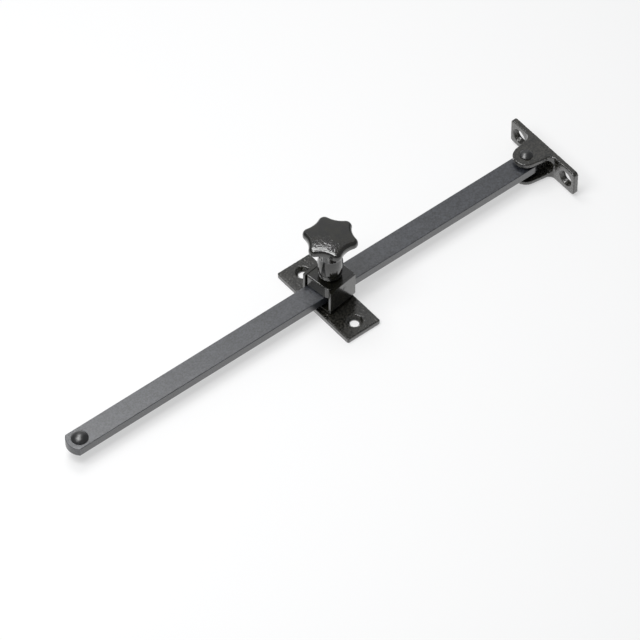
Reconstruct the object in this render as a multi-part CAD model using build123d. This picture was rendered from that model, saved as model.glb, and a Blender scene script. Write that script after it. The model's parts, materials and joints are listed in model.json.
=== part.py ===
from build123d import *
import math
import os

# Sliding casement stay, in millimetres. X runs along the arm towards the sash bracket,
# Y along the base plate, Z up. The origin is on the swivel axis at the underside of the base.

# Arm: flat bar with an arched free end and a fully rounded hinge end
ARM_LENGTH = 300.0
ARM_WIDTH = 12.0
ARM_THICKNESS = 5.0
ARM_EDGE_RADIUS = 0.35
ARM_END_ARCH = 2.6
STOP_TO_SWIVEL = 157.0
STOP_TO_FREE_END = 7.0
ARM_OFFSET = 0.6

# Stop rivet near the free end
STOP_HEAD_DIAMETER = 8.9
STOP_HEAD_HEIGHT = 2.6
STOP_SHANK_DIAMETER = 5.0
STOP_FLARE_DIAMETER = 6.6
STOP_FLARE_DEPTH = 0.9

# Straight wall under the dome of each round rivet head, and the easing of its rim
HEAD_WALL = 0.5
HEAD_RIM_RADIUS = 0.4

# Base plate with two countersunk screw holes
BASE_LENGTH = 56.6
BASE_WIDTH = 21.0
BASE_THICKNESS = 3.0
BASE_CORNER_RADIUS = 0.8
BASE_EDGE_RADIUS = 0.6
BASE_HOLE_TO_END = 7.8
BASE_HOLE_DIAMETER = 4.6
BASE_SINK_DIAMETER = 8.2
BASE_SINK_ANGLE = 90.0

# Swivel rivet and washer between the base plate and the channel
SWIVEL_SHANK_DIAMETER = 6.0
SWIVEL_HEAD_DIAMETER = 11.0
SWIVEL_HEAD_HEIGHT = 2.15
SWIVEL_HEAD_CHAMFER = 0.5
SWIVEL_FLARE_DIAMETER = 8.4
SWIVEL_FLARE_DEPTH = 1.2
WASHER_DIAMETER = 15.0
WASHER_THICKNESS = 0.3

# Channel bent from strip, which swivels on the base and guides the arm
CHANNEL_LENGTH = 18.0
CHANNEL_FORWARD = 0.4
CHANNEL_THICKNESS = 1.5
CHANNEL_BEND_RADIUS = 1.5
CHANNEL_TURN = 7.0
CHANNEL_EDGE_RADIUS = 0.2

# Bridge block held between the walls of the channel by two side pins
BRIDGE_LENGTH = 18.4
BRIDGE_HEIGHT = 6.9
BRIDGE_FORWARD = 1.3
BRIDGE_NEAR_RADIUS = 4.5
BRIDGE_FAR_RADIUS = 1.2
BRIDGE_TAIL_RADIUS = 0.8
BRIDGE_TOP_RADIUS = 0.8
BRIDGE_TO_WALL = 0.1
BRIDGE_OVER_ARM = 0.5
WALL_OVER_BRIDGE = 0.25
PIN_DIAMETER = 2.5
PIN_BELOW_TOP = 3.2
PIN_IN_BRIDGE = 1.8

# Clamp screw, pressure pad and star knob
SCREW_DIAMETER = 6.0
SCREW_FORWARD = 1.1
SCREW_TIP_DIAMETER = 3.0
SCREW_TIP_LENGTH = 0.8
SCREW_IN_HUB = 16.0
PAD_DIAMETER = 7.0
PAD_THICKNESS = 1.4
PAD_LIFT = 2.0
HUB_LENGTH = 24.8
HUB_FOOT_DIAMETER = 11.6
HUB_BELLY_DIAMETER = 13.2
HUB_BELLY_HEIGHT = 6.9
HUB_WAIST_DIAMETER = 11.6
HUB_WAIST_RADIUS = 3.0
HUB_TOP_DIAMETER = 16.8
HUB_EDGE_RADIUS = 0.6
HUB_FLARE_RADIUS = 1.2
HUB_OVER_BRIDGE = 0.5
STAR_LOBES = 6
STAR_RADIUS = 14.2
STAR_VALLEY_RADIUS = 11.6
STAR_TIP_RADIUS = 3.3
STAR_THICKNESS = 3.2
STAR_CROWN = 1.4
STAR_TOP_EDGE_RADIUS = 2.2
STAR_LOWER_EDGE_RADIUS = 0.5
STAR_TURN = 6.5

# Sash bracket, one casting: a back plate and two ears that straddle the hinge end of the arm
BRACKET_LENGTH = 49.8
BACK_OFFSET = -1.35
BACK_THICKNESS = 3.0
BACK_CORNER_RADIUS = 2.0
BRACKET_DROP = 0.6
BRACKET_EDGE_RADIUS = 0.6
EAR_THICKNESS = 2.7
EAR_TO_ARM = 2.05
EAR_NOSE_RADIUS = 7.0
EAR_ROOT_HALF_WIDTH = 8.6
SLOT_PAST_ARM = 3.5
SLOT_CORNER_RADIUS = 3.0
WEB_THICKNESS = 0.2
EAR_ROOT_FILLET = 3.4
SASH_HOLE_TO_END = 6.7
SASH_HOLE_DIAMETER = 5.8
SASH_SINK_DIAMETER = 9.2
SASH_SINK_ANGLE = 75.0
HINGE_SHANK_DIAMETER = 5.0
HINGE_HEAD_DIAMETER = 6.8
HINGE_HEAD_HEIGHT = 1.9

# Clearances
RUNNING_GAP = 0.05
SHANK_CLEARANCE = 0.08
SCREW_CLEARANCE = 0.08
PAD_CLEARANCE = 0.2
TIP_CLEARANCE = 0.1
ARM_TO_WALL = 0.35

# Edges and points this near to a place count as being there when they are picked
SAME_PLACE = 0.05

# Heights, stacked up from the underside of the base
washer_top = BASE_THICKNESS + WASHER_THICKNESS
channel_bottom = washer_top + RUNNING_GAP
channel_floor = channel_bottom + CHANNEL_THICKNESS
swivel_head_bottom = channel_floor + RUNNING_GAP
swivel_head_top = swivel_head_bottom + SWIVEL_HEAD_HEIGHT
arm_bottom = swivel_head_top + RUNNING_GAP
arm_top = arm_bottom + ARM_THICKNESS
arm_middle = arm_bottom + ARM_THICKNESS / 2
bridge_bottom = arm_top + BRIDGE_OVER_ARM
bridge_top = bridge_bottom + BRIDGE_HEIGHT
channel_top = bridge_top + WALL_OVER_BRIDGE
pin_height = bridge_top - PIN_BELOW_TOP
pad_bottom = arm_top + RUNNING_GAP
pad_top = pad_bottom + PAD_THICKNESS
hub_bottom = bridge_top + HUB_OVER_BRIDGE
bracket_middle = arm_middle - BRACKET_DROP
slot_half_height = ARM_THICKNESS / 2 + EAR_TO_ARM + BRACKET_DROP
bracket_half_height = slot_half_height + EAR_THICKNESS

# Places along and across the arm
free_end_x = -STOP_TO_SWIVEL - STOP_TO_FREE_END
hinge_x = free_end_x + ARM_LENGTH - ARM_WIDTH / 2
turn = math.radians(CHANNEL_TURN)
channel_reach = CHANNEL_LENGTH / 2 + CHANNEL_FORWARD
reach_at_mouth = ARM_WIDTH / 2 + ARM_OFFSET + channel_reach * math.sin(turn)
channel_inner_half = reach_at_mouth / math.cos(turn) + ARM_TO_WALL
channel_outer_half = channel_inner_half + CHANNEL_THICKNESS
bridge_half_width = channel_inner_half - BRIDGE_TO_WALL
screw_x = SCREW_FORWARD * math.cos(turn)
screw_y = SCREW_FORWARD * math.sin(turn)
slot_bottom = ARM_WIDTH / 2 + SLOT_PAST_ARM
back_front = slot_bottom + WEB_THICKNESS
pivot_to_back = back_front + BACK_THICKNESS


def turned(shape):
    """Turn a shape made in line with the arm to the channel's own direction."""
    return Rot(0, 0, CHANNEL_TURN) * shape


def upright(diameter, bottom, top):
    """A round bar standing on the Z axis between two heights."""
    return Pos(0, 0, bottom) * extrude(Circle(diameter / 2), amount=top - bottom)


def cone(low_diameter, high_diameter, bottom, top):
    """A cone frustum standing on the Z axis between two heights."""
    height = top - bottom
    return Pos(0, 0, (bottom + top) / 2) * Cone(low_diameter / 2, high_diameter / 2, height)


def sunk_hole(hole_diameter, sink_diameter, sink_angle, thickness):
    """Cutter for a countersunk hole from z = 0 up to the sunk face at z = thickness."""
    depth = (sink_diameter - hole_diameter) / 2 / math.tan(math.radians(sink_angle / 2))
    shank = upright(hole_diameter, 0, thickness)
    return shank + cone(hole_diameter, sink_diameter, thickness - depth, thickness)


def dome_head(diameter, height):
    """A round rivet head on z = 0: a cap of a sphere on a low straight wall."""
    rise = height - HEAD_WALL
    sphere_radius = (diameter ** 2 / 4 + rise ** 2) / (2 * rise)
    ball = Pos(0, 0, height - sphere_radius) * Rot(90, 0, 0) * Sphere(sphere_radius)
    head = ball & upright(diameter, 0, height * 2)
    return fillet(circles_at(head, HEAD_WALL), HEAD_RIM_RADIUS)


def arm_outline():
    """Plan of the arm: arched free end on the left, half round hinge end on the right."""
    half = ARM_WIDTH / 2
    shoulder = free_end_x + ARM_END_ARCH
    near = Line((hinge_x, -half), (shoulder, -half))
    arch = ThreePointArc((shoulder, -half), (free_end_x, 0), (shoulder, half))
    far = Line((shoulder, half), (hinge_x, half))
    nose = ThreePointArc((hinge_x, half), (hinge_x + half, 0), (hinge_x, -half))
    return make_face(near + arch + far + nose)


def arm_bar():
    bar = extrude(arm_outline(), amount=ARM_THICKNESS)
    flats = bar.faces().sort_by(Axis.Z)
    bar = fillet(flats[0].edges() + flats[-1].edges(), ARM_EDGE_RADIUS)
    flare = cone(STOP_FLARE_DIAMETER, STOP_SHANK_DIAMETER, 0, STOP_FLARE_DEPTH)
    stop_hole = upright(STOP_SHANK_DIAMETER, 0, ARM_THICKNESS) + flare
    hinge_hole = upright(HINGE_SHANK_DIAMETER + 2 * SHANK_CLEARANCE, 0, ARM_THICKNESS)
    bar = bar - Pos(-STOP_TO_SWIVEL, 0, 0) * stop_hole - Pos(hinge_x, 0, 0) * hinge_hole
    return Pos(0, ARM_OFFSET, arm_bottom) * bar


def stop_rivet():
    shank = upright(STOP_SHANK_DIAMETER, 0, ARM_THICKNESS)
    flare = cone(STOP_FLARE_DIAMETER, STOP_SHANK_DIAMETER, 0, STOP_FLARE_DEPTH)
    head = Pos(0, 0, ARM_THICKNESS) * dome_head(STOP_HEAD_DIAMETER, STOP_HEAD_HEIGHT)
    return Pos(-STOP_TO_SWIVEL, ARM_OFFSET, arm_bottom) * (shank + flare + head)


def base_plate():
    plate = extrude(RectangleRounded(BASE_WIDTH, BASE_LENGTH, BASE_CORNER_RADIUS), amount=BASE_THICKNESS)
    plate = fillet(plate.faces().sort_by(Axis.Z)[-1].edges(), BASE_EDGE_RADIUS)
    screw = sunk_hole(BASE_HOLE_DIAMETER, BASE_SINK_DIAMETER, BASE_SINK_ANGLE, BASE_THICKNESS)
    hole_y = BASE_LENGTH / 2 - BASE_HOLE_TO_END
    for side in (-1, 1):
        plate -= Pos(0, side * hole_y, 0) * screw
    return plate - swivel_shank()


def swivel_shank():
    """Shank of the swivel rivet, spread into the underside of the base plate."""
    flare = cone(SWIVEL_FLARE_DIAMETER, SWIVEL_SHANK_DIAMETER, 0, SWIVEL_FLARE_DEPTH)
    return upright(SWIVEL_SHANK_DIAMETER, 0, swivel_head_bottom) + flare


def swivel_rivet():
    head = upright(SWIVEL_HEAD_DIAMETER, swivel_head_bottom, swivel_head_top)
    head = chamfer(head.faces().sort_by(Axis.Z)[-1].edges(), SWIVEL_HEAD_CHAMFER)
    return swivel_shank() + head


def swivel_washer():
    disc = upright(WASHER_DIAMETER, BASE_THICKNESS, washer_top)
    return disc - upright(SWIVEL_SHANK_DIAMETER, BASE_THICKNESS, washer_top)


def channel_profile():
    """Cross-section of the channel, seen along it: a strip bent up twice."""
    outer_bend = CHANNEL_BEND_RADIUS + CHANNEL_THICKNESS
    outside = RectangleRounded(2 * channel_outer_half, 2 * (channel_top - channel_bottom), outer_bend)
    inside = RectangleRounded(2 * channel_inner_half, 2 * (channel_top - channel_floor), CHANNEL_BEND_RADIUS)
    ring = Pos(0, channel_top) * (outside - inside)
    below = Pos(0, channel_top / 2) * Rectangle(4 * channel_outer_half, channel_top)
    return ring & below


def swivel_channel():
    strip = extrude(Plane.YZ * channel_profile(), amount=CHANNEL_LENGTH / 2, both=True)
    strip = Pos(CHANNEL_FORWARD, 0, 0) * strip
    mouths = strip.faces().sort_by(Axis.X)
    strip = fillet(mouths[0].edges() + mouths[-1].edges(), CHANNEL_EDGE_RADIUS)
    strip -= upright(SWIVEL_SHANK_DIAMETER + 2 * SHANK_CLEARANCE, channel_bottom, channel_floor)
    for side in (-1, 1):
        strip -= side_pin(side)
    return turned(strip)


def side_pin(side):
    """One pin of the bridge, from the outer face of a wall into the block."""
    length = CHANNEL_THICKNESS + BRIDGE_TO_WALL + PIN_IN_BRIDGE
    middle = side * (channel_outer_half - length / 2)
    return Pos(BRIDGE_FORWARD, middle, pin_height) * Rot(90, 0, 0) * Cylinder(PIN_DIAMETER / 2, length)


def bridge_pins():
    return Compound([turned(side_pin(side)) for side in (-1, 1)])


def bridge_plan():
    """Plan of the block: well rounded at the near left corner, eased at the other three."""
    reach = BRIDGE_LENGTH / 2
    half = bridge_half_width
    plan = Rectangle(BRIDGE_LENGTH, 2 * half)
    corners = {(-reach, -half): BRIDGE_NEAR_RADIUS, (-reach, half): BRIDGE_FAR_RADIUS}
    corners |= {(reach, -half): BRIDGE_TAIL_RADIUS, (reach, half): BRIDGE_TAIL_RADIUS}
    for corner, radius in corners.items():
        plan = fillet(plan.vertices().sort_by_distance(corner)[0], radius)
    return plan


def bridge_outline():
    """Block before its holes: its plan all the way up, with the top eased at both ends."""
    side_view = extrude(Rectangle(BRIDGE_LENGTH, 2 * bridge_half_width), amount=BRIDGE_HEIGHT)
    top_ends = side_view.faces().sort_by(Axis.Z)[-1].edges().filter_by(Axis.Y)
    block = fillet(top_ends, BRIDGE_TOP_RADIUS) & extrude(bridge_plan(), amount=BRIDGE_HEIGHT)
    return Pos(BRIDGE_FORWARD, 0, bridge_bottom) * block


def bridge_block():
    block = bridge_outline()
    for side in (-1, 1):
        block -= side_pin(side)
    recess_top = pad_top + PAD_LIFT + PAD_CLEARANCE
    block = turned(block) - on_screw_axis(upright(SCREW_DIAMETER, bridge_bottom, bridge_top))
    return block - on_screw_axis(upright(PAD_DIAMETER + 2 * PAD_CLEARANCE, bridge_bottom, recess_top))


def on_screw_axis(shape):
    """Move a shape from the Z axis to the axis of the clamp screw."""
    return Pos(screw_x, screw_y, 0) * shape


def screw_shank(diameter):
    """Body of the clamp screw, from the pad up into the hub."""
    return upright(diameter, pad_top + RUNNING_GAP, hub_bottom + SCREW_IN_HUB)


def clamp_screw():
    shank_diameter = SCREW_DIAMETER - 2 * SCREW_CLEARANCE
    shoulder = pad_top + RUNNING_GAP
    tip = upright(SCREW_TIP_DIAMETER, shoulder - SCREW_TIP_LENGTH, shoulder)
    return on_screw_axis(screw_shank(shank_diameter) + tip)


def pressure_pad():
    pad = upright(PAD_DIAMETER, pad_bottom, pad_top)
    socket_bottom = pad_top - SCREW_TIP_LENGTH
    socket = upright(SCREW_TIP_DIAMETER + 2 * TIP_CLEARANCE, socket_bottom, pad_top)
    return on_screw_axis(pad - socket)


def star_outline():
    """Star with rounded lobes and hollow flanks; each hollow is tangent to two lobes."""
    step = 2 * math.pi / STAR_LOBES
    lobe_centre = STAR_RADIUS - STAR_TIP_RADIUS
    lean = lobe_centre * math.cos(step / 2)
    gap = lobe_centre ** 2 + STAR_VALLEY_RADIUS ** 2 - 2 * lean * STAR_VALLEY_RADIUS
    hollow = (gap - STAR_TIP_RADIUS ** 2) / (2 * (STAR_TIP_RADIUS + lean - STAR_VALLEY_RADIUS))
    share = STAR_TIP_RADIUS / (STAR_TIP_RADIUS + hollow)

    def polar(radius, angle):
        return Vector(radius * math.cos(angle), radius * math.sin(angle))

    def joint(lobe_angle, side):
        """Point where a lobe meets the hollow beside it."""
        lobe = polar(lobe_centre, lobe_angle)
        valley = polar(STAR_VALLEY_RADIUS + hollow, lobe_angle + side * step / 2)
        return lobe + (valley - lobe) * share

    edges = []
    for lobe in range(STAR_LOBES):
        angle = lobe * step
        edges.append(ThreePointArc(joint(angle, -1), polar(STAR_RADIUS, angle), joint(angle, 1)))
        bottom_of_hollow = polar(STAR_VALLEY_RADIUS, angle + step / 2)
        edges.append(ThreePointArc(joint(angle, 1), bottom_of_hollow, joint(angle + step, -1)))
    return make_face(edges)


def crowned_disc():
    """Disc as wide as the star, with a gently domed top, that trims the top of the star."""
    reach = STAR_RADIUS + STAR_TOP_EDGE_RADIUS
    centre_height = STAR_THICKNESS + STAR_CROWN
    sphere_radius = (reach ** 2 + STAR_CROWN ** 2) / (2 * STAR_CROWN)
    ball = Pos(0, 0, centre_height - sphere_radius) * Rot(90, 0, 0) * Sphere(sphere_radius)
    return ball & upright(2 * reach, 0, 2 * centre_height)


def star_head():
    head = extrude(star_outline(), amount=STAR_THICKNESS + STAR_CROWN) & crowned_disc()
    top = head.faces().sort_by(Axis.Z)[-1]
    head = fillet(top.edges(), STAR_TOP_EDGE_RADIUS)
    underside = head.faces().sort_by(Axis.Z)[0]
    return fillet(underside.edges(), STAR_LOWER_EDGE_RADIUS)


def circles_at(shape, height):
    """Round edges of a shape that lie level at a height."""
    level = shape.edges().filter_by(lambda edge: abs(edge.center().Z - height) < SAME_PLACE)
    return level.filter_by(GeomType.CIRCLE)


def hub():
    """Hub of the knob: a barrel up to the waist and a cone above it, standing on z = 0."""
    waist_height = 2 * HUB_BELLY_HEIGHT
    foot = (HUB_FOOT_DIAMETER / 2, 0)
    belly = (HUB_BELLY_DIAMETER / 2, HUB_BELLY_HEIGHT)
    waist = (HUB_WAIST_DIAMETER / 2, waist_height)
    top = (HUB_TOP_DIAMETER / 2, HUB_LENGTH)
    side = ThreePointArc(foot, belly, waist) + Line(waist, top)
    profile = make_face(side + Polyline(top, (0, HUB_LENGTH), (0, 0), foot))
    body = revolve(Rot(90, 0, 0) * profile, Axis.Z)
    body = fillet(body.faces().sort_by(Axis.Z)[0].edges(), HUB_EDGE_RADIUS)
    return fillet(circles_at(body, waist_height), HUB_WAIST_RADIUS)


def star_knob():
    knob = hub() + Pos(0, 0, HUB_LENGTH) * Rot(0, 0, STAR_TURN) * star_head()
    knob = fillet(circles_at(knob, HUB_LENGTH), HUB_FLARE_RADIUS)
    knob = Pos(0, 0, hub_bottom) * knob
    return on_screw_axis(knob - screw_shank(SCREW_DIAMETER - 2 * SCREW_CLEARANCE))


def at_pivot(shape):
    """Move a shape made about the origin to the hinge pivot."""
    return Pos(hinge_x, ARM_OFFSET, bracket_middle) * shape


def clevis_plan():
    """Plan about the pivot: a round nose on straight flanks that flare into the back plate."""
    spread = math.hypot(back_front, EAR_ROOT_HALF_WIDTH)
    slope = math.atan2(EAR_ROOT_HALF_WIDTH, back_front) + math.acos(EAR_NOSE_RADIUS / spread)
    far_touch = Vector(EAR_NOSE_RADIUS * math.cos(slope), EAR_NOSE_RADIUS * math.sin(slope))
    near_touch = Vector(far_touch.X, -far_touch.Y)
    far_root = Vector(back_front, EAR_ROOT_HALF_WIDTH)
    near_root = Vector(back_front, -EAR_ROOT_HALF_WIDTH)
    nose = ThreePointArc(near_touch, (-EAR_NOSE_RADIUS, 0), far_touch)
    flanks = Line(far_touch, far_root) + Line(near_root, near_touch)
    boss = make_face(nose + flanks + Line(far_root, near_root))
    back = Pos((back_front + pivot_to_back) / 2, BACK_OFFSET) * Rectangle(BACK_THICKNESS, BRACKET_LENGTH)
    plan = boss + back
    roots = [point for point in plan.vertices() if abs(abs(point.Y) - EAR_ROOT_HALF_WIDTH) < SAME_PLACE]
    return fillet(roots, EAR_ROOT_FILLET)


def is_rounded(edge):
    """True for the sharp edges of the bracket's front, and not for its back or its smooth joins."""
    middle = edge.center()
    at_end = abs(middle.Y - BACK_OFFSET) > BRACKET_LENGTH / 2 - SAME_PLACE
    smooth_join = abs(middle.Z) < SAME_PLACE and not at_end
    return middle.X < pivot_to_back - SAME_PLACE and not smooth_join


def bracket_blank():
    """Casting before the slot and the holes: one plan all the way up, with its corners eased."""
    blank = extrude(clevis_plan(), amount=bracket_half_height, both=True)
    blank = fillet(blank.edges().filter_by(Axis.X), BACK_CORNER_RADIUS)
    sharp = blank.edges().filter_by(Axis.X, reverse=True).filter_by(is_rounded)
    return fillet(sharp, BRACKET_EDGE_RADIUS)


def arm_slot():
    """Slot between the ears for the arm's end, from in front of the nose to the web at the back."""
    depth = EAR_NOSE_RADIUS + slot_bottom
    middle = slot_bottom - depth / 2
    slot = Pos(middle, 0, 0) * Box(depth, 2 * BRACKET_LENGTH, 2 * slot_half_height)
    inner = slot.faces().sort_by(Axis.X)[-1].edges().filter_by(Axis.Y)
    return fillet(inner, SLOT_CORNER_RADIUS)


def hinge_bracket():
    bracket = bracket_blank() - arm_slot()
    bracket -= upright(HINGE_SHANK_DIAMETER, -bracket_half_height, bracket_half_height)
    screw = sunk_hole(SASH_HOLE_DIAMETER, SASH_SINK_DIAMETER, SASH_SINK_ANGLE, BACK_THICKNESS)
    hole_y = BRACKET_LENGTH / 2 - SASH_HOLE_TO_END
    for side in (-1, 1):
        bracket -= Pos(pivot_to_back, BACK_OFFSET + side * hole_y, 0) * Rot(0, -90, 0) * screw
    return at_pivot(bracket)


def hinge_rivet():
    shank = upright(HINGE_SHANK_DIAMETER, -bracket_half_height, bracket_half_height)
    head = Pos(0, 0, bracket_half_height) * dome_head(HINGE_HEAD_DIAMETER, HINGE_HEAD_HEIGHT)
    return at_pivot(shank + head + mirror(head, Plane.XY))


pieces = {
    "arm_bar": arm_bar,
    "stop_rivet": stop_rivet,
    "base_plate": base_plate,
    "swivel_rivet": swivel_rivet,
    "swivel_washer": swivel_washer,
    "swivel_channel": swivel_channel,
    "bridge_block": bridge_block,
    "bridge_pins": bridge_pins,
    "pressure_pad": pressure_pad,
    "clamp_screw": clamp_screw,
    "star_knob": star_knob,
    "hinge_bracket": hinge_bracket,
    "hinge_rivet": hinge_rivet,
}

os.makedirs("parts", exist_ok=True)
for name, make in pieces.items():
    export_step(make(), f"parts/{name}.step")
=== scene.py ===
import json
import math

import bmesh
import bpy
from mathutils import Matrix, Vector, noise


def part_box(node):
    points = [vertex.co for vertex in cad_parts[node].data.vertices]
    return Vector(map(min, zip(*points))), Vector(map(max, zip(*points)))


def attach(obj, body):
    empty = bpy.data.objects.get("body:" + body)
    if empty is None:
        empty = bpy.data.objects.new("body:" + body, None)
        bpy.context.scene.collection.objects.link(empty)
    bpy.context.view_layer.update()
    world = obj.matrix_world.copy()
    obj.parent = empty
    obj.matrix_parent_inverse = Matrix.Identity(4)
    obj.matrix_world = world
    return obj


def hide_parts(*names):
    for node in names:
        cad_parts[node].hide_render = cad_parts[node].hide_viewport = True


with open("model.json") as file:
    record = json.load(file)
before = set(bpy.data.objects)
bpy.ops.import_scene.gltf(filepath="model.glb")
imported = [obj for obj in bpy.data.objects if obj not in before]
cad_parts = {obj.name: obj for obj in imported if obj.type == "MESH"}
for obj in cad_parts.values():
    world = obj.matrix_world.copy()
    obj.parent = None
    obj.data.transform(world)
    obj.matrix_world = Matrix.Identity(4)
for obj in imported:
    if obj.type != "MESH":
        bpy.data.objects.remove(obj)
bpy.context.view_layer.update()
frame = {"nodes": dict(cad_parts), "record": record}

MM = 0.001
WHITE = (1, 1, 1, 1)

# Camera: fitted to the straight edges of the object in the photograph
PHOTO_SIZE = 640
ORIGIN_PIXEL = (328.6, 300.2)
PIXELS_PER_MM = 1.992
CAMERA_AZIMUTH = -39.11
CAMERA_ELEVATION = 49.98
CAMERA_DISTANCE = 3160 * MM
CLIP_RATIO = 100
SENSOR_WIDTH = 36.0

# Lamps: places and sizes in metres
LAMPS = {
    "key": dict(place=(0.034, 0.359, 0.88), target=(-0.155, 0.126, 0), size=(0.4, 0.35), watts=3.0),
    "left": dict(place=(-0.35, 0.03, 0.80), target=(0, 0, 0), size=(0.45, 0.45), watts=5.2),
    "far": dict(place=(0.66, 1.13, 1.0), target=(0, 0, 0), size=(2.0, 1.4), watts=3.0),
}

# World and floor: reflections show the floor's glow, and the camera a mix of the glow and the shaded floor
WORLD_COLOR = (0.95, 0.97, 1.0, 1)
WORLD_STRENGTH = 0.25
FLOOR_WIDTH = 6.0
FLOOR_HEIGHT = -0.02 * MM
FLOOR_COLOR = (0.9, 0.9, 0.9, 1)
GLOW_STRENGTH = 0.95
GLOW_SHARE_IN_VIEW = 0.55

# Castings, in millimetres: lumps sunk into a skin of voxels; the block's skin is finer, to follow its pocket,
# and the knob's hub is calmer than its star
CASTING_VOXEL = 0.3
BLOCK_VOXEL = 0.18
WELD_DISTANCE = 0.0005
HUB_CALM_HEIGHT = 41.5
CALM_SHARE = 0.3
CASTINGS = {
    "base_plate": dict(depth_mm=0.16, lump_size_mm=0.9),
    "bridge_block": dict(depth_mm=0.06, lump_size_mm=1.6, finish="smooth_casting", voxel_mm=BLOCK_VOXEL),
    "star_knob": dict(depth_mm=0.08, lump_size_mm=1.0, finish="smooth_casting", calm_below_mm=HUB_CALM_HEIGHT),
    "hinge_bracket": dict(depth_mm=0.20, lump_size_mm=0.8),
}
LUMP_SEED = Vector((11.3, 22.6, 33.9))
COARSE_LUMPS = 0.42
FINE_LUMPS = 0.2
FINE_LUMP_SIZE = 0.45

# Clamp screw, in millimetres: a V thread with a flat crest, and a plain tip
THREAD_PITCH = 1.0
THREAD_DEPTH = 0.55
THREAD_CREST_SHARE = 1 / 6
THREAD_STEPS_A_TURN = 48
THREAD_ROWS_A_TURN = 8
TIP_RADIUS = 1.5
TIP_LENGTH = 0.8

# A Mix node's sockets for colours
MIX_DARK = 6
MIX_LIGHT = 7
MIX_RESULT = 2

# Finishes: the shader's own values, then noise that runs the colour from dark to light (mottle), noise that runs
# the roughness from low to high (polish), and noise in the height (bumps)
NOISE_DETAIL = 3
NOISE_ROUGHNESS = 0.55
NOISE_RANGE = (0.35, 0.65)
GRAIN_RANGE = (0.42, 0.62)
ENAMEL_DARK = (0.003, 0.003, 0.002)
FINISHES = {
    # Cast iron under glossy black enamel, a little uneven, with a lighter grain
    "black_casting": dict(
        shader=dict(Base_Color=(0.005, 0.005, 0.0055, 1), Roughness=0.26, Coat_Weight=1.0, Coat_Roughness=0.15),
        mottle=dict(size_mm=0.9, detail=2, within=GRAIN_RANGE, dark=ENAMEL_DARK, light=(0.035, 0.033, 0.027)),
        polish=dict(size_mm=2.2, low=0.15, high=0.26),
        bumps=[dict(size_mm=1.3, detail=2, depth_mm=0.10), dict(size_mm=0.5, detail=2, depth_mm=0.03)],
    ),
    # The same iron and enamel, smoother
    "smooth_casting": dict(
        shader=dict(Base_Color=(0.005, 0.005, 0.0055, 1), Roughness=0.20, Coat_Weight=1.0, Coat_Roughness=0.11),
        mottle=dict(size_mm=4.0, detail=2, within=GRAIN_RANGE, dark=ENAMEL_DARK, light=(0.008, 0.0075, 0.004)),
        polish=dict(size_mm=2.2, low=0.11, high=0.20),
        bumps=[dict(size_mm=1.3, detail=2, depth_mm=0.014), dict(size_mm=0.5, detail=2, depth_mm=0.008)],
    ),
    # Bent steel strip under smooth glossy black enamel
    "black_strip": dict(
        shader=dict(Base_Color=(0.006, 0.006, 0.0065, 1), Roughness=0.2, Coat_Weight=1.0, Coat_Roughness=0.14),
        mottle=dict(size_mm=5.0, dark=(0.005, 0.005, 0.003), light=(0.009, 0.0085, 0.005)),
        polish=dict(size_mm=3.0, low=0.16, high=0.26),
        bumps=[dict(size_mm=1.8, detail=2, depth_mm=0.03), dict(size_mm=0.5, detail=2, depth_mm=0.006)],
    ),
    # Hammered rivet under satin black enamel
    "black_rivet": dict(
        shader=dict(Base_Color=(0.006, 0.006, 0.0065, 1), Roughness=0.36, Coat_Weight=1.0, Coat_Roughness=0.32),
        mottle=dict(size_mm=3.0, dark=(0.005, 0.005, 0.0055), light=(0.008, 0.008, 0.0085)),
        polish=dict(size_mm=1.5, low=0.32, high=0.42),
        bumps=[dict(size_mm=1.6, detail=2, depth_mm=0.03), dict(size_mm=0.5, detail=2, depth_mm=0.006)],
    ),
    # Flat bar under a dark grey coating with a fine, even grain
    "arm_steel": dict(
        shader=dict(
            Base_Color=(0.02, 0.02, 0.021, 1), Roughness=0.32, Specular_IOR_Level=1.0,
            Coat_Weight=0.5, Coat_Roughness=0.3,
        ),
        mottle=dict(size_mm=0.9, dark=(0.003, 0.004, 0.006), light=(0.038, 0.042, 0.052)),
        polish=dict(size_mm=9.0, low=0.30, high=0.36),
        bumps=[dict(size_mm=1.1, detail=2, depth_mm=0.03), dict(size_mm=0.5, depth_mm=0.03)],
    ),
    # Plain turned steel
    "washer_steel": dict(
        shader=dict(Base_Color=(0.45, 0.45, 0.46, 1), Roughness=0.35, Metallic=1.0),
        polish=dict(size_mm=1.0, low=0.28, high=0.44),
        bumps=[dict(size_mm=0.5, depth_mm=0.01)],
    ),
    # Dark oiled steel
    "screw_steel": dict(
        shader=dict(Base_Color=(0.25, 0.25, 0.26, 1), Roughness=0.4, Metallic=1.0),
        mottle=dict(size_mm=1.2, dark=(0.17, 0.17, 0.17), light=(0.30, 0.30, 0.31)),
        polish=dict(size_mm=0.8, low=0.30, high=0.5),
    ),
    # Turned brass
    "pad_brass": dict(
        shader=dict(Base_Color=(0.6, 0.45, 0.2, 1), Roughness=0.32, Metallic=1.0),
        polish=dict(size_mm=1.0, low=0.26, high=0.42),
        bumps=[dict(size_mm=0.5, depth_mm=0.01)],
    ),
}


def set_inputs(node, **values):
    """Set a node's sockets by name; an underscore in a name stands for a space."""
    for name, value in values.items():
        node.inputs[name.replace("_", " ")].default_value = value


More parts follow.
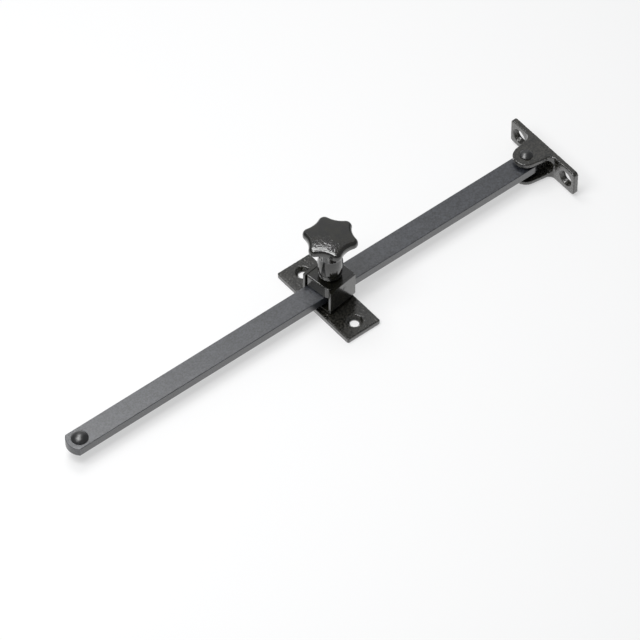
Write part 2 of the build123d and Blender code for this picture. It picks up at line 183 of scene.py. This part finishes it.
class Look:
    """A procedural material, with noise in its colour, roughness and height."""

    def __init__(self, name, shader):
        self.material = bpy.data.materials.new(name)
        self.material.use_nodes = True
        self.tree = self.material.node_tree
        self.shader = self.tree.nodes["Principled BSDF"]
        set_inputs(self.shader, **shader)
        self.place = self.tree.nodes.new("ShaderNodeTexCoord").outputs["Object"]
        self.bump_normal = None

    def add(self, kind, **values):
        node = self.tree.nodes.new(kind)
        set_inputs(node, **values)
        return node

    def link(self, output, target):
        self.tree.links.new(output, target)

    def noise(self, size_mm, detail=NOISE_DETAIL):
        """Cloudy noise whose blotches are about size_mm wide."""
        node = self.add("ShaderNodeTexNoise", Scale=1 / (size_mm * MM), Detail=detail, Roughness=NOISE_ROUGHNESS)
        self.link(self.place, node.inputs["Vector"])
        return node.outputs["Fac"]

    def spread(self, value, low, high, within=NOISE_RANGE):
        """A value that lies within a range, stretched to run from low to high."""
        node = self.add("ShaderNodeMapRange", From_Min=within[0], From_Max=within[1], To_Min=low, To_Max=high)
        self.link(value, node.inputs["Value"])
        return node.outputs["Result"]

    def mottle(self, dark, light, within=NOISE_RANGE, **clouds):
        """Run the colour from dark to light by noise."""
        mix = self.add("ShaderNodeMix")
        mix.data_type = "RGBA"
        mix.inputs[MIX_DARK].default_value = (*dark, 1)
        mix.inputs[MIX_LIGHT].default_value = (*light, 1)
        self.link(self.spread(self.noise(**clouds), 0, 1, within), mix.inputs["Factor"])
        self.link(mix.outputs[MIX_RESULT], self.shader.inputs["Base Color"])

    def polish(self, low, high, **clouds):
        """Run the roughness from low to high by noise."""
        self.link(self.spread(self.noise(**clouds), low, high), self.shader.inputs["Roughness"])

    def bump(self, depth_mm, **clouds):
        """Add noise of that height to the surface's bump."""
        bump = self.add("ShaderNodeBump", Strength=1.0, Distance=depth_mm * MM)
        self.link(self.noise(**clouds), bump.inputs["Height"])
        if self.bump_normal is not None:
            self.link(self.bump_normal, bump.inputs["Normal"])
        self.bump_normal = bump.outputs["Normal"]
        self.link(self.bump_normal, self.shader.inputs["Normal"])


def make_material(name, shader, mottle=None, polish=None, bumps=()):
    look = Look(name, shader)
    if mottle:
        look.mottle(**mottle)
    if polish:
        look.polish(**polish)
    for bump in bumps:
        look.bump(**bump)
    return look.material


materials = {name: make_material(name + "_look", **finish) for name, finish in FINISHES.items()}
slot_of = {row["node"]: row["material_slot"] for row in frame["record"]["subparts"]}
body_of = {node: body for body, nodes in frame["record"]["behaviour"]["bodies"].items() for node in nodes}


def dress(piece, finish):
    """Give a piece its material, in its only slot."""
    piece.data.materials.clear()
    piece.data.materials.append(materials[finish])


def dress_cad_nodes():
    """Finish every CAD node, also the ones that another piece replaces."""
    for node, piece in frame["nodes"].items():
        dress(piece, slot_of[node])


def put_in_place_of(node, mesh, name, finish=None):
    """Show a mesh in place of a CAD node, on the node's body and in its finish."""
    piece = bpy.data.objects.new(name, mesh)
    bpy.context.scene.collection.objects.link(piece)
    mesh.polygons.foreach_set("use_smooth", [True] * len(mesh.polygons))
    dress(piece, finish or slot_of[node])
    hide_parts(node)
    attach(piece, body_of[node])


def remeshed(node, voxel_mm):
    """An even mesh of a CAD node's surface, worked out in millimetres."""
    mesh = frame["nodes"][node].data.copy()
    mesh.transform(Matrix.Scale(1 / MM, 4))
    welded = bmesh.new()
    welded.from_mesh(mesh)
    bmesh.ops.remove_doubles(welded, verts=welded.verts, dist=WELD_DISTANCE)
    welded.to_mesh(mesh)
    welded.free()
    worker = bpy.data.objects.new(node + "_remesh", mesh)
    bpy.context.scene.collection.objects.link(worker)
    modifier = worker.modifiers.new("voxels", "REMESH")
    modifier.mode = "VOXEL"
    modifier.voxel_size = voxel_mm
    bpy.context.view_layer.update()
    evaluated = worker.evaluated_get(bpy.context.evaluated_depsgraph_get())
    result = bpy.data.meshes.new_from_object(evaluated)
    bpy.data.objects.remove(worker)
    return result


def sunk_share(point, lump_size):
    """How far a cast surface is sunk at a point in millimetres, from 0 for not at all to 1 for the full depth."""
    shifted = point + LUMP_SEED
    coarse = noise.noise(shifted / lump_size)
    fine = noise.noise(shifted / (FINE_LUMP_SIZE * lump_size))
    return min(max(0.5 + COARSE_LUMPS * coarse + FINE_LUMPS * fine, 0), 1)


def casting(node, depth_mm, lump_size_mm, finish=None, calm_below_mm=-math.inf, voxel_mm=CASTING_VOXEL):
    """Skin of a casting: the CAD surface with shallow lumps, none of them proud of it."""
    mesh = remeshed(node, voxel_mm)
    normals = [vertex.normal.copy() for vertex in mesh.vertices]
    for vertex, normal in zip(mesh.vertices, normals):
        depth = CALM_SHARE * depth_mm if vertex.co.z < calm_below_mm else depth_mm
        vertex.co -= normal * depth * sunk_share(vertex.co, lump_size_mm)
    mesh.transform(Matrix.Scale(MM, 4))
    put_in_place_of(node, mesh, node + "_casting", finish)


def thread_radius(crest, turns):
    """Radius of the thread, some turns along its helix."""
    past_crest = max(abs(turns % 1.0 - 0.5) - THREAD_CREST_SHARE / 2, 0)
    return crest - THREAD_DEPTH * past_crest / (0.5 - THREAD_CREST_SHARE / 2)


def threaded_screw():
    """Clamp screw with its thread cut on the length that the CAD shank fills."""
    low, high = (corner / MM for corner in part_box("clamp_screw"))
    centre = (low + high) / 2
    crest = (high.x - low.x) / 2
    start = low.z + TIP_LENGTH
    rows = int((high.z - start) / THREAD_PITCH * THREAD_ROWS_A_TURN)
    screw = bmesh.new()

    def ring(height, radius_at):
        """Points around the screw, at the radius that belongs to each share of a turn."""
        made = []
        for step in range(THREAD_STEPS_A_TURN):
            turn = step / THREAD_STEPS_A_TURN
            angle = 2 * math.pi * turn
            radius = radius_at(turn)
            place = (centre.x + radius * math.cos(angle), centre.y + radius * math.sin(angle), height)
            made.append(screw.verts.new(place))
        return made

    rings = [ring(low.z, lambda turn: TIP_RADIUS), ring(start, lambda turn: TIP_RADIUS)]
    for row in range(rows + 1):
        height = start + (high.z - start) * row / rows
        pitch_turns = (height - start) / THREAD_PITCH
        rings.append(ring(height, lambda turn: thread_radius(crest, pitch_turns - turn)))
    for lower, upper in zip(rings, rings[1:]):
        for step in range(THREAD_STEPS_A_TURN):
            after = (step + 1) % THREAD_STEPS_A_TURN
            screw.faces.new((lower[step], lower[after], upper[after], upper[step]))
    screw.faces.new(reversed(rings[0]))
    screw.faces.new(rings[-1])
    mesh = bpy.data.meshes.new("clamp_screw_thread")
    screw.to_mesh(mesh)
    screw.free()
    mesh.transform(Matrix.Scale(MM, 4))
    put_in_place_of("clamp_screw", mesh, "clamp_screw_threaded")


def make_camera():
    """Camera at the photograph's angle, placed so that the origin falls on its pixel."""
    azimuth = math.radians(CAMERA_AZIMUTH)
    elevation = math.radians(CAMERA_ELEVATION)
    right = Vector((math.cos(azimuth), math.sin(azimuth), 0))
    level = Vector((-math.sin(azimuth), math.cos(azimuth), 0))
    forward = level * math.cos(elevation) - Vector((0, 0, math.sin(elevation)))
    up = right.cross(forward)
    metres_a_pixel = MM / PIXELS_PER_MM
    aside = (ORIGIN_PIXEL[0] - PHOTO_SIZE / 2) * metres_a_pixel
    above = (PHOTO_SIZE / 2 - ORIGIN_PIXEL[1]) * metres_a_pixel
    data = bpy.data.cameras.new("camera")
    data.sensor_width = SENSOR_WIDTH
    data.lens = SENSOR_WIDTH * CAMERA_DISTANCE / (PHOTO_SIZE * metres_a_pixel)
    data.clip_start = CAMERA_DISTANCE / CLIP_RATIO
    data.clip_end = CAMERA_DISTANCE * CLIP_RATIO
    camera = bpy.data.objects.new("camera", data)
    bpy.context.scene.collection.objects.link(camera)
    camera.location = -(forward * CAMERA_DISTANCE + right * aside + up * above)
    camera.rotation_mode = "QUATERNION"
    camera.rotation_quaternion = Matrix((right, up, -forward)).transposed().to_quaternion()
    bpy.context.scene.camera = camera


def make_world():
    world = bpy.data.worlds.new("studio")
    bpy.context.scene.world = world
    world.use_nodes = True
    set_inputs(world.node_tree.nodes["Background"], Color=WORLD_COLOR, Strength=WORLD_STRENGTH)


def floor_material():
    """Pale to the lamps, and near white to the camera and in reflections."""
    material = bpy.data.materials.new("floor_white")
    material.use_nodes = True
    tree = material.node_tree
    tree.nodes.remove(tree.nodes["Principled BSDF"])
    path = tree.nodes.new("ShaderNodeLightPath")
    seen = tree.nodes.new("ShaderNodeMath")
    seen.operation = "MULTIPLY"
    seen.inputs[1].default_value = GLOW_SHARE_IN_VIEW
    tree.links.new(path.outputs["Is Camera Ray"], seen.inputs[0])
    share = tree.nodes.new("ShaderNodeMath")
    share.operation = "MAXIMUM"
    tree.links.new(seen.outputs[0], share.inputs[0])
    tree.links.new(path.outputs["Is Glossy Ray"], share.inputs[1])
    diffuse = tree.nodes.new("ShaderNodeBsdfDiffuse")
    set_inputs(diffuse, Color=FLOOR_COLOR)
    glow = tree.nodes.new("ShaderNodeEmission")
    set_inputs(glow, Color=WHITE, Strength=GLOW_STRENGTH)
    mix = tree.nodes.new("ShaderNodeMixShader")
    tree.links.new(share.outputs[0], mix.inputs["Fac"])
    tree.links.new(diffuse.outputs[0], mix.inputs[1])
    tree.links.new(glow.outputs[0], mix.inputs[2])
    tree.links.new(mix.outputs[0], tree.nodes["Material Output"].inputs["Surface"])
    return material


def make_floor():
    half = FLOOR_WIDTH / 2
    corners = [(-half, -half, 0), (half, -half, 0), (half, half, 0), (-half, half, 0)]
    mesh = bpy.data.meshes.new("floor")
    mesh.from_pydata(corners, [], [(0, 1, 2, 3)])
    mesh.materials.append(floor_material())
    floor = bpy.data.objects.new("floor", mesh)
    bpy.context.scene.collection.objects.link(floor)
    floor.location.z = FLOOR_HEIGHT


def softbox(name, place, target, size, watts):
    """A rectangular lamp, with its middle at place, facing target."""
    data = bpy.data.lights.new(name, "AREA")
    data.shape = "RECTANGLE"
    data.size, data.size_y = size
    data.energy = watts
    lamp = bpy.data.objects.new(name, data)
    bpy.context.scene.collection.objects.link(lamp)
    lamp.location = place
    lamp.rotation_mode = "QUATERNION"
    lamp.rotation_quaternion = (Vector(target) - Vector(place)).to_track_quat("-Z", "Y")


dress_cad_nodes()
for node, cast in CASTINGS.items():
    casting(node, **cast)
threaded_screw()
make_camera()
make_world()
make_floor()
for name, lamp in LAMPS.items():
    softbox(name, **lamp)
bpy.context.scene.view_settings.view_transform = "Standard"
